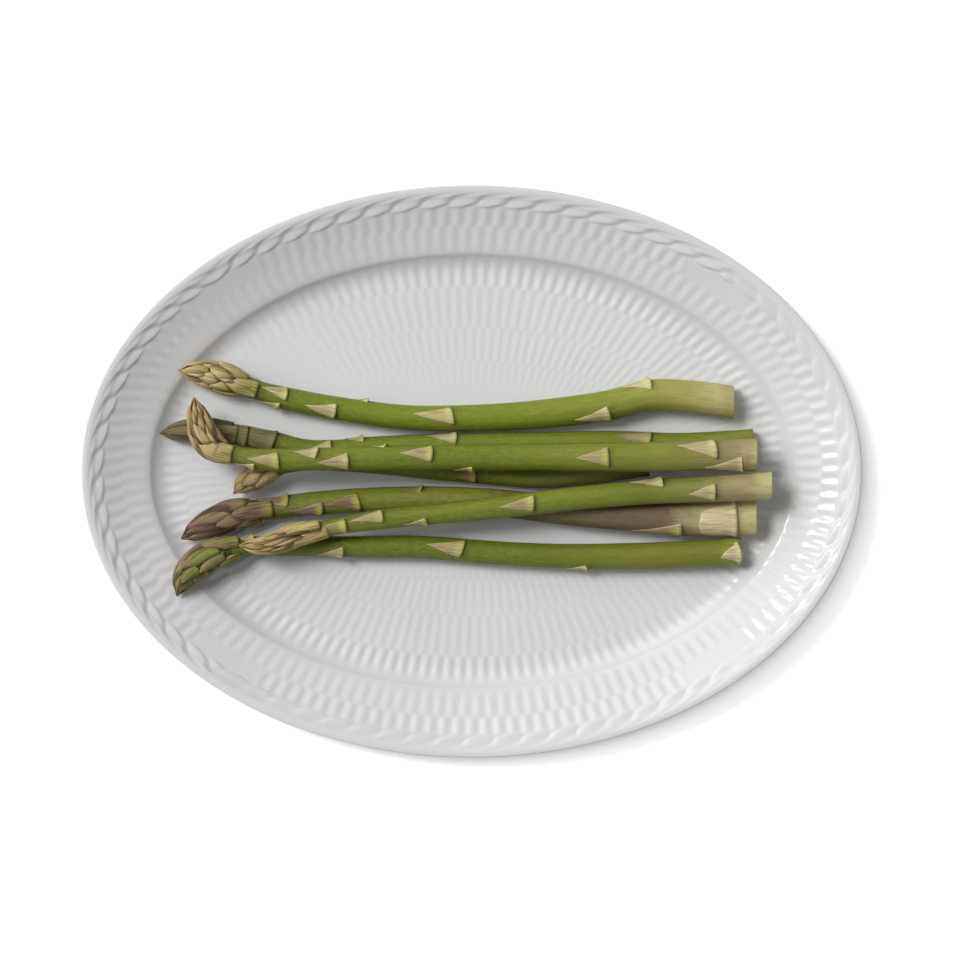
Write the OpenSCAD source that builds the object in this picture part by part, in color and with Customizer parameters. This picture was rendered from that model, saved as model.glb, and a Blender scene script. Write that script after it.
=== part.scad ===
// Oval porcelain serving dish with a fluted rim, holding seven loose asparagus spears.
// Origin: centre of the foot ring, on the table. +X along the dish, +Z up. Millimetres.

/* [Dish] */
// Length of the dish over its rim
dish_length = 285; // [265:1:305]
// Width of the dish over its rim
dish_width = 209; // [195:1:225]
// Height of the lip above the table
dish_height = 20.5; // [19.5:0.5:23]
// Width of the rim, from its edge to the shoulder of the well
rim_width = 25; // [23:0.5:28]
// Drop of the rim from its lip to the shoulder
rim_drop = 9.4; // [7:0.2:10.4]
// Distance in plan from the shoulder to the foot of the wall
wall_run = 8.5; // [7:0.5:11]
// Height of the well's floor above the table
floor_height = 7; // [6.5:0.5:9]
// Thickness of the porcelain
porcelain = 4.2; // [3.5:0.1:5]

/* [Foot ring] */
// Inset of the middle of the foot ring from the edge of the dish
foot_inset = 36; // [34:0.5:42]
// Width of the flat that the dish stands on
foot_width = 3; // [2:0.25:5]

/* [Relief] */
// Number of flutes in each row, a multiple of four
flute_count = 144; // [120:4:160]
// Height of a flute's ridge above its valley
flute_relief = 0.5; // [0.2:0.05:0.8]
// Plan width of the step between two rows of flutes
row_step = 0.7; // [0.4:0.1:1.2]
// Width of the plain lip outside the border
lip_width = 2.2; // [1.8:0.1:3]
// Width of the twisted cord border
border_width = 6.2; // [5:0.1:8]
// Height of the border's cords
cord_relief = 0.6; // [0.3:0.05:0.9]
// Width of the outer row of flutes on the rim
rim_row = 6.2; // [4:0.1:8]
// Width of the row of flutes that runs down the wall
wall_row = 11.5; // [11:0.1:14]
// Width of the first row of flutes on the floor
floor_row_1 = 15; // [10:0.5:18]
// Width of the second row of flutes on the floor
floor_row_2 = 12.5; // [8:0.5:15]
// Eccentric angle of the plain panels in the outer row, from the ends of the dish
panel_angle = 47; // [40:1:55]
// Half the angle that a panel takes
panel_half_angle = 8; // [4:1:10]

/* [Spear 1] */
// Length of the tip
tip_length_1 = 30; // [24:1:36]
// Diameter of the tip
tip_d_1 = 11; // [9:0.1:13]
// Diameter of the neck
neck_d_1 = 7; // [5:0.1:8]
// Diameter of the stalk behind the neck
stalk_d_1 = 8.4; // [7:0.1:9.5]
// Diameter of the cut end
butt_d_1 = 12.4; // [10:0.1:13.5]

/* [Spear 2] */
// Length of the tip
tip_length_2 = 32; // [26:1:38]
// Diameter of the tip
tip_d_2 = 9; // [7:0.1:10]
// Diameter of the neck
neck_d_2 = 7.6; // [6:0.1:8.5]
// Diameter of the stalk behind the neck
stalk_d_2 = 7.8; // [7:0.1:9]
// Diameter of the cut end
butt_d_2 = 9.8; // [8:0.1:11]

/* [Spear 3] */
// Length of the tip
tip_length_3 = 28; // [23:1:34]
// Diameter of the tip
tip_d_3 = 10.6; // [8:0.1:12]
// Diameter of the neck
neck_d_3 = 6; // [5:0.1:7.5]
// Diameter of the stalk behind the neck
stalk_d_3 = 8; // [7:0.1:9]
// Diameter of the cut end
butt_d_3 = 11.8; // [10:0.1:13]

/* [Spear 4] */
// Length of the tip
tip_length_4 = 20; // [16:1:25]
// Diameter of the tip
tip_d_4 = 8.6; // [7:0.1:10]
// Diameter of the neck
neck_d_4 = 5.6; // [4.5:0.1:7]
// Diameter of the stalk behind the neck
stalk_d_4 = 6; // [5:0.1:7]
// Diameter of the cut end
butt_d_4 = 7.4; // [6:0.1:8.5]

/* [Spear 5] */
// Length of the tip
tip_length_5 = 35; // [28:1:42]
// Diameter of the tip
tip_d_5 = 11.2; // [9:0.1:13]
// Diameter of the neck
neck_d_5 = 7.6; // [6:0.1:8.5]
// Diameter of the stalk behind the neck
stalk_d_5 = 8.8; // [7:0.1:10]
// Diameter of the cut end
butt_d_5 = 13.2; // [11:0.1:14]

/* [Spear 6] */
// Length of the tip
tip_length_6 = 36; // [29:1:42]
// Diameter of the tip
tip_d_6 = 8.4; // [7:0.1:10]
// Diameter of the neck
neck_d_6 = 5.8; // [4.5:0.1:7]
// Diameter of the stalk behind the neck
stalk_d_6 = 7.2; // [6:0.1:8]
// Diameter of the cut end
butt_d_6 = 10.2; // [9:0.1:11.5]

/* [Spear 7] */
// Length of the tip
tip_length_7 = 32; // [26:1:38]
// Diameter of the tip
tip_d_7 = 11.6; // [9:0.1:13]
// Diameter of the neck
neck_d_7 = 6.2; // [5:0.1:7.5]
// Diameter of the stalk behind the neck
stalk_d_7 = 7.8; // [7:0.1:9]
// Diameter of the cut end
butt_d_7 = 10.4; // [9:0.1:12]

/* [Scale leaves] */
// Thickness of a scale leaf at its base
leaf_thickness = 0.35; // [0.25:0.05:0.6]
// Half the angle that the base of a leaf takes round its stalk
leaf_half_angle = 48; // [35:1:60]

/* [Lie of the spears] */
// Gap between a spear and the dish under it
rest_gap = 0.3; // [0.2:0.05:0.5]
// Gap between two spears, which leaves room for their leaves
pile_gap = 0.75; // [0.7:0.05:1]

/* [Hidden] */

// Outline of the dish: an ellipse, and inside it the curves at a constant inset
half_length = dish_length / 2;
half_width = dish_width / 2;
// The flutes stand closer in angle along the long sides than at the ends
crowding = 4;
angle_rounds = 5;
fine_count = 2 * flute_count;
coarse_count = flute_count / 2;

// Heights of the upper surface
edge_height = 1.6;
lip_crest = lip_width / 2;
lip_fall = 0.7;
rim_top = dish_height - lip_fall;
shoulder_height = dish_height - rim_drop;
floor_rise = 0.2;
wall_foot_height = floor_height + floor_rise;
// The wall is steep at the shoulder and flattens towards its foot; q is the share of its run
function wall_height(q) = wall_foot_height + (shoulder_height - wall_foot_height) * (1 - sin(90 * q));
wall_middle = 0.45;
wall_lean = atan2(shoulder_height - wall_foot_height, wall_run);

// Insets where the rows of relief begin and end
border_end = lip_width + border_width;
rim_row_end = border_end + rim_row;
wall_foot = rim_width + wall_run;
wall_row_end = rim_width + wall_row;
floor_row_1_end = wall_row_end + floor_row_1;
floor_row_2_end = floor_row_1_end + floor_row_2;

// Underside
under_height = floor_height - porcelain;
foot_taper = 1;
foot_outside = foot_inset - foot_width / 2;
foot_inside = foot_inset + foot_width / 2;
edge_underside = 3.4;

// Routes of the spears in plan, from the point of the tip to the cut end
routes = [
  [[-107.5, 37], [-94, 35], [-78.5, 29.7], [-62, 25.4], [-42, 22], [-21, 19.6], [6, 19.8], [30, 21.5],
    [50, 24.2], [65, 27.8], [80, 27.4], [96, 25.3]],
  [[-114.5, 14], [-101, 15], [-86, 13.4], [-73, 10.9], [-62, 8], [-51, 7.6], [-38, 8.6], [-22, 9.4],
    [-6, 9.9], [22, 10], [50, 10.4], [78, 9.4], [103, 10.7]],
  [[-101, 27], [-100, 21], [-97.5, 13.5], [-93, 8.2], [-85, 5.8], [-72, 4.2], [-52, 4.6], [-26, 4.9],
    [4, 5.1], [32, 5.2], [60, 5.2], [84, 5.8], [103.5, 6]],
  [[-87.3, -8.2], [-81.5, -3.4], [-72, 1], [-60, 3.2], [-46, 3], [-30, 1.8], [-12, 0], [10, -1.8],
    [26, -2.8], [44, -1], [65, 2]],
  [[-106.5, -24.7], [-94, -18.2], [-81, -14.6], [-66, -12.6], [-44, -10.8], [-18, -10.3], [8, -11.4],
    [32, -14], [56, -15.9], [80, -17.2], [104, -16.7]],
  [[-84.7, -27], [-75, -27], [-63, -23.2], [-50, -20.2], [-32, -17.4], [-8, -15], [16, -12.4],
    [40, -9.6], [64, -7.5], [88, -6.3], [109, -5.2]],
  [[-107.7, -45.6], [-104, -37.4], [-96, -31.2], [-85, -27.6], [-68, -27.2], [-44, -27.6], [-18, -27.8],
    [8, -29.8], [32, -31], [58, -31], [80, -30.3], [98.5, -29.2]]];
// Length, tip, neck, stalk and cut end of each spear
spear_sizes = [
  [tip_length_1, tip_d_1, neck_d_1, stalk_d_1, butt_d_1],
  [tip_length_2, tip_d_2, neck_d_2, stalk_d_2, butt_d_2],
  [tip_length_3, tip_d_3, neck_d_3, stalk_d_3, butt_d_3],
  [tip_length_4, tip_d_4, neck_d_4, stalk_d_4, butt_d_4],
  [tip_length_5, tip_d_5, neck_d_5, stalk_d_5, butt_d_5],
  [tip_length_6, tip_d_6, neck_d_6, stalk_d_6, butt_d_6],
  [tip_length_7, tip_d_7, neck_d_7, stalk_d_7, butt_d_7]];
// Scale leaves of each spear: distance of the base from the point, angle round the stalk, length
leaves = [
  [[41, 62, 10], [39, 165, 8], [60, 112, 12], [71, 8, 5], [103, 78, 15], [160, 138, 13], [176, 30, 10]],
  [[31, 100, 9], [44, 80, 11], [64, 76, 9], [76, 20, 7], [110, 46, 11], [181, 58, 14]],
  [[44, 96, 12], [36, 170, 8], [59, 50, 9], [70, 112, 12], [84, 8, 5], [100, 66, 12], [115, 168, 7],
    [165, 92, 12], [203, 60, 14], [214, 138, 15]],
  [[34, 80, 8], [92, 107, 10]],
  [[45, 103, 12], [42, 12, 8], [68, 98, 13], [91, 30, 6], [186, 150, 18], [207, 80, 16]],
  [[40, 88, 11], [54, 66, 13], [70, 148, 9], [109, 90, 13], [156, 30, 12], [174, 108, 9]],
  [[36, 28, 6], [69, 134, 10], [113, 80, 14], [159, 168, 8], [213, 100, 6]]];
// The order in which the spears were laid down: the later ones lie on the earlier ones
laying_order = [2, 4, 7, 5, 1, 3, 6];

// Facets and steps of the spears
stalk_sides = 8;
stalk_rings = 14;
// The rings of a stalk stand closer together towards its neck, where it bends most
ring_crowding = 1.2;
tip_tiers = 6;
curve_steps = 5;
stations = 64;
// A stalk bends over this many stations to each side
bend_stations = 5;
// The neck widens to the stalk over this length
neck_run = 14;
// Girth grows slowly at first and faster towards the cut end
girth_power = 1.3;
// Depth of the step where one tier of bud scales covers the next
tier_step = 0.45;
tier_lip = 0.25;
// Share of a tier that its pointed scales reach forward
tier_point = 0.45;
// Fit of a leaf on its stalk
leaf_seat = 0.2;
leaf_lift = 0.12;
leaf_rows = [0, 0.4, 0.75];
leaf_columns = [1, 1 / 3, -1 / 3, -1];

// Eccentric angle of a flute, from its even share of the turn
function flute_angle(share, rounds = angle_rounds) =
  rounds == 0 ? share : share + crowding * sin(2 * flute_angle(share, rounds - 1));

// Point on the curve at one inset
function inset_point(inset, angle, height) =
  [(half_length - inset) * cos(angle), (half_width - inset) * sin(angle), height];

fine_angles = [for (i = [0:fine_count - 1]) flute_angle(360 * i / fine_count)];
coarse_angles = [for (i = [0:coarse_count - 1]) fine_angles[4 * i]];

// Height of the upper surface by inset, with flutes and cords left out
upper_profile = concat(
  [[0, dish_height - edge_height], [lip_crest, dish_height], [lip_width, rim_top]],
  [for (q = [0, wall_middle, 1]) [rim_width + q * wall_run, wall_height(q)]],
  [[floor_row_2_end, floor_height], [half_width, floor_height]]);
function upper(inset) = lookup(inset, upper_profile);

// A plain ring with few points
function plain_ring(inset, height) = [for (t = coarse_angles) inset_point(inset, t, height)];
// A ring across a row of flutes: ridges and valleys take turns, and side says which comes first
function flute_ring(inset, side) = [for (i = [0:fine_count - 1])
  inset_point(inset, fine_angles[i], upper(inset) + (i % 2 == side ? 1 : -1) * flute_relief / 2)];
// A ring across the outer row, whose flutes stop at four plain panels
function from_ends(angle) = let (turn = angle % 180) min(turn, 180 - turn);
function panel_ring(inset, side) = [for (p = flute_ring(inset, side), t = [from_ends(atan2(p.y / half_width,
  p.x / half_length) + 360)]) abs(t - panel_angle) < panel_half_angle ? [p.x, p.y, upper(inset)] : p];
// A ring across the border: two cords cross at every fourth point and part between them
function cord_ring(inset, parted) = [for (i = [0:fine_count - 1])
  inset_point(inset, fine_angles[i], upper(inset) + cord_relief * (1 + parted * cos(90 * i)) / 2)];

// Faces between one ring and the next, where a ring may have four times the other's points, or be one point
function band_faces(first, low, second, high) =
  low == 1 ? [for (i = [0:high - 1]) [first, second + i, second + (i + 1) % high]] :
  high == 1 ? [for (i = [0:low - 1]) [first + i, second, first + (i + 1) % low]] :
  low == high ? [for (i = [0:low - 1], upper_half = [false, true]) upper_half ?
    [first + i, second + (i + 1) % low, first + (i + 1) % low] :
    [first + i, second + i, second + (i + 1) % low]] :
  low < high ? [for (i = [0:low - 1], k = [0:4]) k < 2 ?
    [first + i, second + 4 * i + k, second + (4 * i + k + 1) % high] : k == 2 ?
    [first + i, second + 4 * i + 2, first + (i + 1) % low] :
    [first + (i + 1) % low, second + 4 * i + k - 1, second + (4 * i + k) % high]] :
  [for (i = [0:high - 1], k = [0:4]) k < 2 ?
    [second + i, first + (4 * i + k + 1) % low, first + 4 * i + k] : k == 2 ?
    [second + i, second + (i + 1) % high, first + 4 * i + 2] :
    [second + (i + 1) % high, first + (4 * i + k) % low, first + 4 * i + k - 1]];
function ring_start(rings, k) = k == 0 ? 0 : ring_start(rings, k - 1) + len(rings[k - 1]);
function skin_faces(rings) = [for (k = [0:len(rings) - 2])
  each band_faces(ring_start(rings, k), len(rings[k]), ring_start(rings, k + 1), len(rings[k + 1]))];
function skin_points(rings) = [for (ring = rings) each ring];

// Rings of the dish from the middle of the underside, round the edge, to the middle of the well
dish_rings = [
  [[0, 0, under_height]],
  plain_ring(foot_inside + foot_taper, under_height),
  plain_ring(foot_inside, 0),
  plain_ring(foot_outside, 0),
  plain_ring(foot_outside - foot_taper, under_height),
  plain_ring(rim_width + wall_middle * wall_run - porcelain * sin(wall_lean),
    wall_height(wall_middle) - porcelain * cos(wall_lean)),
  plain_ring(rim_width - porcelain * sin(wall_lean / 2), shoulder_height - porcelain * cos(wall_lean / 2)),
  plain_ring(lip_crest, dish_height - edge_underside),
  plain_ring(0, dish_height - edge_height),
  plain_ring(lip_crest, dish_height),
  cord_ring(lip_width, -1),
  cord_ring(lip_width + border_width / 2, 1),
  cord_ring(border_end - row_step, -1),
  panel_ring(border_end, 0),
  panel_ring(rim_row_end - row_step / 2, 0),
  flute_ring(rim_row_end + row_step / 2, 1),
  flute_ring(rim_width - row_step / 2, 1),
  flute_ring(rim_width + row_step / 2, 0),
  flute_ring(rim_width + wall_middle * wall_run, 0),
  flute_ring(wall_foot, 0),
  flute_ring(wall_row_end - row_step / 2, 0),
  flute_ring(wall_row_end + row_step / 2, 1),
  flute_ring(floor_row_1_end - row_step / 2, 1),
  flute_ring(floor_row_1_end + row_step / 2, 0),
  flute_ring(floor_row_2_end, 0),
  [[0, 0, floor_height]]];

// Smooth curve through the points of a route
function blend(p, k, u) =
  let (a = p[max(k - 1, 0)], b = p[k], c = p[k + 1], d = p[min(k + 2, len(p) - 1)])
  (2 * b + (c - a) * u + (2 * a - 5 * b + 4 * c - d) * u * u + (3 * b - a - 3 * c + d) * u * u * u) / 2;
function smooth(p) = concat(
  [for (k = [0:len(p) - 2], j = [0:curve_steps - 1]) blend(p, k, j / curve_steps)], [p[len(p) - 1]]);
function distances(p) = [for (k = 0, run = 0; k < len(p);
  run = run + (k + 1 < len(p) ? norm(p[k + 1] - p[k]) : 0), k = k + 1) run];

curves = [for (route = routes) smooth(route)];
runs = [for (curve = curves) distances(curve)];
lengths = [for (run = runs) run[len(run) - 1]];
x_tables = [for (i = [0:6]) [for (k = [0:len(runs[i]) - 1]) [runs[i][k], curves[i][k].x]]];
y_tables = [for (i = [0:6]) [for (k = [0:len(runs[i]) - 1]) [runs[i][k], curves[i][k].y]]];

// Radius of a spear at a distance from its point
function girth(i, at) =
  let (size = spear_sizes[i], tip = size[0], behind = tip + neck_run)
  at < behind ? lookup(at, [[0, size[1] * 0.08], [tip * 0.2, size[1] * 0.34], [tip * 0.48, size[1] * 0.5],
    [tip * 0.75, size[1] * 0.46], [tip, size[2] / 2], [behind, size[3] / 2]]) :
  (size[3] + (size[4] - size[3]) * pow((at - behind) / (lengths[i] - behind), girth_power)) / 2;

// Inset of a point in plan, by halving the interval that holds it
inset_rounds = 14;
function inset_at(x, y, low = 0, high = floor_row_2_end, rounds = inset_rounds) =
  let (middle = (low + high) / 2)
  rounds == 0 ? middle :
  pow(x / (half_length - middle), 2) + pow(y / (half_width - middle), 2) > 1 ?
    inset_at(x, y, low, middle, rounds - 1) : inset_at(x, y, middle, high, rounds - 1);
// Height of the middle of a ball that rests on the dish
function ball_on_dish(x, y, radius) =
  let (inset = inset_at(x, y))
  max([for (k = [-5:5]) upper(inset + radius * k / 5) + radius * sqrt(1 - k * k / 25)]) + flute_relief / 2;

// Heights along a spear, from what it lies on: bridged over hollows, and bent no sharper than a stalk bends
function spread(z) = [for (k = [0:len(z) - 1])
  max([for (m = [max(0, k - bend_stations):min(len(z) - 1, k + bend_stations)]) z[m]])];
function mean(z) = z * [for (v = z) 1] / len(z);
function relax(z) = [for (k = [0:len(z) - 1])
  mean([for (m = [max(0, k - bend_stations):min(len(z) - 1, k + bend_stations)]) z[m]])];
function lie(i, below) =
  let (at = [for (k = [0:stations - 1]) lengths[i] * k / (stations - 1)],
    plan = [for (d = at) [lookup(d, x_tables[i]), lookup(d, y_tables[i]), girth(i, d)]],
    held = [for (p = plan) max(concat([ball_on_dish(p.x, p.y, p.z + rest_gap)],
      [for (spear = below, b = spear) let (reach = p.z + b[3] + pile_gap, away = norm([p.x - b.x, p.y - b.y]))
        if (away < reach) b.z + sqrt(reach * reach - away * away)]))],
    z = relax(spread(held)))
  [for (k = [0:stations - 1]) [plan[k].x, plan[k].y, z[k], plan[k].z]];
function pile(count) = count == 0 ? [] :
  let (below = pile(count - 1)) concat(below, [lie(laying_order[count - 1] - 1, below)]);
piled = pile(len(laying_order));
z_tables = [for (i = [0:6]) let (spear = piled[search(i + 1, laying_order)[0]])
  [for (k = [0:stations - 1]) [lengths[i] * k / (stations - 1), spear[k].z]]];

// Middle of a spear at a distance from its point, and the directions along, across and up there
function middle(i, at) = [lookup(at, x_tables[i]), lookup(at, y_tables[i]), lookup(at, z_tables[i])];
function unit(v) = v / norm(v);
function heading(i, at) = unit(middle(i, min(at + 1, lengths[i])) - middle(i, max(at - 1, 0)));
function across(i, at) = unit(cross([0, 0, 1], heading(i, at)));
function around(i, at, radius, angle) =
  middle(i, at) + radius * (cos(angle) * across(i, at) + sin(angle) * cross(heading(i, at), across(i, at)));
function round_ring(i, at, radius) = [for (k = [0:stalk_sides - 1])
  around(i, at, radius, 360 * k / stalk_sides)];

// Stalk from the neck to the cut end
function stalk_skin(i) =
  let (neck = spear_sizes[i][0],
    at = [for (k = [0:stalk_rings]) neck + (lengths[i] - neck) * pow(k / stalk_rings, ring_crowding)])
  concat([[middle(i, neck)]], [for (d = at) round_ring(i, d, girth(i, d))], [[middle(i, lengths[i])]]);

// Bud with tiers of pointed scales, each tier stepping out over the one nearer the point
function tier_ring(i, tier, out) =
  let (pitch = spear_sizes[i][0] / (tip_tiers + 1), edge = pitch * (tier + 1))
  [for (k = [0:stalk_sides - 1])
    let (at = edge - (k % 2 == tier % 2 ? tier_point * pitch : 0) + out * tier_lip)
    around(i, at, girth(i, at) - (1 - out) * tier_step, 360 * k / stalk_sides)];
function tip_skin(i) =
  let (neck = spear_sizes[i][0])
  concat([[middle(i, 0)]], [for (tier = [0:tip_tiers - 1], out = [0, 1]) tier_ring(i, tier, out)],
    [round_ring(i, neck, girth(i, neck)), [middle(i, neck)]]);

// One scale leaf: a thin pointed shell round the stalk, with its base towards the cut end
function leaf_ring(i, leaf, row) =
  let (at = leaf[0] - leaf[2] * row, half = leaf_half_angle * (1 - row),
    inner = (girth(i, at) + leaf_seat + leaf_lift * row) / cos(half / 3),
    outer = inner + leaf_thickness * (1 - row / 2))
  concat([for (c = leaf_columns) around(i, at, outer, leaf[1] + c * half)],
    [for (c = -leaf_columns) around(i, at, inner, leaf[1] + c * half)]);
function leaf_point(i, leaf) =
  let (at = leaf[0] - leaf[2])
  around(i, at, girth(i, at) + leaf_seat + leaf_lift + leaf_thickness / 2, leaf[1]);
function leaf_skin(i, leaf) =
  concat([for (row = leaf_rows) leaf_ring(i, leaf, row)], [[leaf_point(i, leaf)]]);
// The base of a leaf closes its outer row of points to its inner row, which runs back
last_point = 2 * len(leaf_columns) - 1;
leaf_base = [for (c = [0:len(leaf_columns) - 2])
  each [[c, c + 1, last_point - c - 1], [c, last_point - c - 1, last_point - c]]];

module skin(rings, extra = []) {
  polyhedron(skin_points(rings), concat(skin_faces(rings), extra));
}

module dish() {
  color("white") skin(dish_rings);
}
module stalk(i) {
  color("olivedrab") skin(stalk_skin(i));
}
module tip(i) {
  color("darkkhaki") skin(tip_skin(i));
}
module scales(i) {
  color("tan") for (leaf = leaves[i]) skin(leaf_skin(i, leaf), leaf_base);
}

dish();
for (i = [0:6]) {
  stalk(i);
  tip(i);
  scales(i);
}
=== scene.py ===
"""Oval porcelain platter holding seven asparagus spears: the looks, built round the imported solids."""
import math

import bpy
import numpy as np
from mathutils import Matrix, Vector
from mathutils.bvhtree import BVHTree


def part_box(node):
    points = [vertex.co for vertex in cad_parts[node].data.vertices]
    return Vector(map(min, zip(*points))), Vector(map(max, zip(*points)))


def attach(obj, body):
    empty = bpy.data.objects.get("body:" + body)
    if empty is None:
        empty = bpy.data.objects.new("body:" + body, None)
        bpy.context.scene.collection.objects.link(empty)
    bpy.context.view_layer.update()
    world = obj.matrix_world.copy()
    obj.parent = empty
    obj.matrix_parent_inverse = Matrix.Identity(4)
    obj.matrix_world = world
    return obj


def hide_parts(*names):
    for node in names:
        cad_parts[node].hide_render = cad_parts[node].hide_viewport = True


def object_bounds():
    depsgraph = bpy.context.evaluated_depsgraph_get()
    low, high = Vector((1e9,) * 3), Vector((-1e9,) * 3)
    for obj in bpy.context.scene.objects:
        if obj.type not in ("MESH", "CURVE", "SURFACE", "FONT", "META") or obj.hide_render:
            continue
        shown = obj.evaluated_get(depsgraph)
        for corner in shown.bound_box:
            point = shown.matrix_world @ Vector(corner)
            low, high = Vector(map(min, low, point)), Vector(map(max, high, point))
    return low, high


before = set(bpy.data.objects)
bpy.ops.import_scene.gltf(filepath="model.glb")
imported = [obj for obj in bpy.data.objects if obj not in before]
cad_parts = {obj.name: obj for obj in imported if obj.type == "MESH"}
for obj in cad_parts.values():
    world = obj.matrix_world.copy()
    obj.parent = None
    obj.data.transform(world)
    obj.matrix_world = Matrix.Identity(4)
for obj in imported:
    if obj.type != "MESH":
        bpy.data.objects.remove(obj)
cad_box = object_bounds()

# Lengths are in millimetres. Angles are in degrees, apart from the platter's eccentric angles, in radians
MM = 0.001


def solid_tree(node):
    """The faces of a solid, to find where a line meets it."""
    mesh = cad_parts[node].data
    return BVHTree.FromPolygons([v.co for v in mesh.vertices], [p.vertices for p in mesh.polygons])


def surface_height(tree, x, y, start=1):
    """Height where a plumb line meets a solid first, from a metre above, or from below with start -1."""
    hit = tree.ray_cast(Vector((x * MM, y * MM, start)), Vector((0, 0, -start)))[0]
    return None if hit is None else hit.z / MM


# The platter, with the sizes of its solid. An inset is a distance inwards from its outline
DISH_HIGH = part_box("dish")[1]
HALF_LENGTH = DISH_HIGH.x / MM
HALF_WIDTH = DISH_HIGH.y / MM
DISH_HEIGHT = DISH_HIGH.z / MM
EDGE_HEIGHT = 1.6
EDGE_POWER = 4
EDGE_UNDERSIDE = 3.4
LIP_WIDTH = 2.2
LIP_CREST = 1.1
LIP_INNER, LIP_END = 1.4, 5.4
LIP_FALL = 0.7
RIM_WIDTH = 25
RIM_DROP = 9.4
RIM_BOW = 0.4
WALL_RUN = 8.5
FLOOR_PLACE = (3, 2)
FLOOR_HEIGHT = surface_height(solid_tree("dish"), *FLOOR_PLACE)
FLOOR_RISE = 0.2
PORCELAIN = 4.2
SHOULDER_HEIGHT = DISH_HEIGHT - RIM_DROP
WALL_FOOT = RIM_WIDTH + WALL_RUN
WALL_FOOT_HEIGHT = FLOOR_HEIGHT + FLOOR_RISE
# Where the fall of the well's wall begins, how fast it eases off, and half the length that rounds its start
WELL_START = 24.3
WALL_CURVE = 2.5
SHOULDER_ROUND = 0.7
SHOULDER_SAMPLES = 9
# Foot ring, with fillets at its root and bevels at its tread
FOOT_INSET = 36
FOOT_WIDTH = 3
FOOT_TAPER = 1
FILLET_RUN, FILLET_RISE, FILLET_DROP = 1.2, 0.25, 0.3
BEVEL_RUN, BEVEL_RISE, TREAD_INSET = 0.15, 0.25, 0.3

# Relief: insets where the rows of flutes begin, and the height of each row's ridges
FLUTES = 144
CROWDING = 4
CROWDING_PASSES = 5
BORDER_END = 8.4
ROW_STARTS = (BORDER_END, 14.6, RIM_WIDTH, 36.5, 51.5, 64)
ROW_RELIEFS = (0.38, 0.25, 0.34, 0.15, 0.11, 0.085)
RELIEF_END = 77
ROW_BEND = 1.4
# Insets between which flutes fade towards the shoulder and come back behind it, and the share that fades
FADE_OUT = (22, WELL_START - 1)
FADE_IN = (WELL_START + 1.2, 31)
FADE_SHARE = 0.94
# Four plain panels by their angle from the platter's ends, where the twist of the border changes its hand
PANEL_ANGLE = 47
PANEL_HALF_ANGLE = 8
PANEL_FADE = 2.5
TWIST_CHANGE = 1.5
# Border of twisted cords, two flutes to a cord. The crease beside a cord swings from the border's inner edge
# to its lip: its place along the border, in cords, by the share of the border's width from the lip
CORDS = FLUTES // 2
CORD_HEIGHT = 0.55
CORD_RISE = (0.04, 0.4)
CREASE_ACROSS = (0.12, 0.2, 0.29, 0.47, 0.65, 0.83, 1)
CREASE_ALONG = (1, 0.8, 0.5, 0.39, 0.28, 0.14, 0)
# Where a cord's crest lies, and the power of the climb to it across the border
CORD_CREST = 0.74
CLIMB_ACROSS = (0.15, 0.5, 0.9)
CLIMB_POWERS = (2.6, 1.2, 0.6)
BEAD_ALONG, BEAD_ACROSS = 0.42, 0.66
BEAD_LENGTH, BEAD_WIDTH = 0.06, 0.09
BEAD_HEIGHT = 0.3
HEAD_EDGE, HEAD_BULGE, HEAD_ROUND = 0.86, 0.15, 0.15

# Facets of the platter: fine over its relief, coarse in the middle and below
FACET_STEP = 4
FINE = 8 * FLUTES
COARSE = FINE // FACET_STEP
LIP_RINGS = (0, 0.1, 0.35, 0.7, 1.1, 1.5, 1.85)
BORDER_RINGS = 19
WALL_RINGS = 11
RING_SPACING = 2.6
ROW_EDGE = 0.45
MIDDLE_INSET = 80
MIDDLE_SIZES = (1, 0.66, 0.33)
# Underside: inset and drop at the edge, shares of the runs of rim and wall, and insets inside the foot ring
UNDER_EDGE = (0.25, 1)
RIM_SHARES = (0.08, 0.5, 0.92)
WALL_SHARES = (0.12, 0.5, 1)
WALL_MIDDLE = 0.45
UNDER_FLOOR = (58, 78)


def unit(vectors):
    return vectors / np.linalg.norm(vectors, axis=-1, keepdims=True)


def smoothstep(value, start, end):
    share = np.clip((value - start) / (end - start), 0, 1)
    return share * share * (3 - 2 * share)


def ripple(a, b, seed, waves=5):
    """Smooth seeded waviness over two coordinates, between about -1 and 1."""
    draws = np.random.default_rng(seed)
    total = 0
    for _ in range(waves):
        pitch_a, pitch_b, phase = draws.normal(), draws.normal(), draws.uniform(0, 2 * math.pi)
        total = total + np.sin(pitch_a * a + pitch_b * b + phase)
    return total / waves


def grid_faces(rows, columns, start=0, closed=False):
    """Quads between rows of points; closed rows meet round a tube."""
    steps = columns if closed else columns - 1
    return [(start + r * columns + c, start + r * columns + (c + 1) % columns,
             start + (r + 1) * columns + (c + 1) % columns, start + (r + 1) * columns + c)
            for r in range(rows - 1) for c in range(steps)]


def fan(first, centre, count):
    """Triangles between a ring of points and its centre."""
    return [(first + c, first + (c + 1) % count, centre) for c in range(count)]


def turned(faces):
    """Faces with their other side out."""
    return [face[::-1] for face in faces]


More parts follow.
